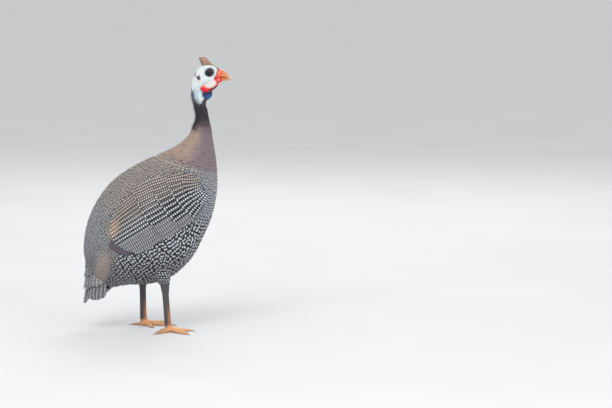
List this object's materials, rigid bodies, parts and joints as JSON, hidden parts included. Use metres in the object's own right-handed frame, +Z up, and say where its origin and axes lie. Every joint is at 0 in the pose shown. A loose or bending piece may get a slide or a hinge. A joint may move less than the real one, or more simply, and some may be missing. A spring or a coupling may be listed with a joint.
{
  "type": "guinea fowl",
  "caption": "Life-size still model of a helmeted guinea fowl standing alert on its own feet, neck raised, wings folded and tail lowered.",
  "frame": {"origin": "on the floor under the middle of the bird's bounding box", "axes": "+Z up, +X the way the bird and its bill point, +Y to the bird's left"},
  "size_m": [0.285, 0.178, 0.5184],
  "materials": {
    "skin": "bare white and pale blue skin, finely wrinkled, cobalt on the throat",
    "horn": "rough brown and tan horn",
    "bill": "satin horn, red at the base and pale orange at the tip",
    "eye": "wet, near black with a dark brown ring",
    "wattle": "soft red skin, pale in its middle",
    "neck_feathers": "short plain mauve-grey feathers with a tan nape",
    "plumage": "near-black feathers covered with round white spots",
    "quills": "dark vaned feathers with rows of white spots and fine bars",
    "shank": "dark grey-brown scales",
    "toe": "orange-pink scales",
    "claw": "cream horn"
  },
  "bodies": {
    "root": {"head": "skin", "casque": "horn", "bill_upper": "bill", "bill_lower": "bill", "neck_upper": "skin", "neck_lower": "neck_feathers", "torso": "plumage", "tail": "quills", "eye_left": "eye", "eye_right": "eye", "wattle_left": "wattle", "wattle_right": "wattle", "wing_left": "quills", "wing_right": "quills", "thigh_right": "plumage", "shank_right": "shank", "foot_right": "toe", "claw_right_1": "claw", "claw_right_2": "claw", "claw_right_3": "claw", "claw_right_4": "claw", "thigh_left": "plumage", "shank_left": "shank", "foot_left": "toe", "claw_left_1": "claw", "claw_left_2": "claw", "claw_left_3": "claw", "claw_left_4": "claw"}
  },
  "joints": []
}
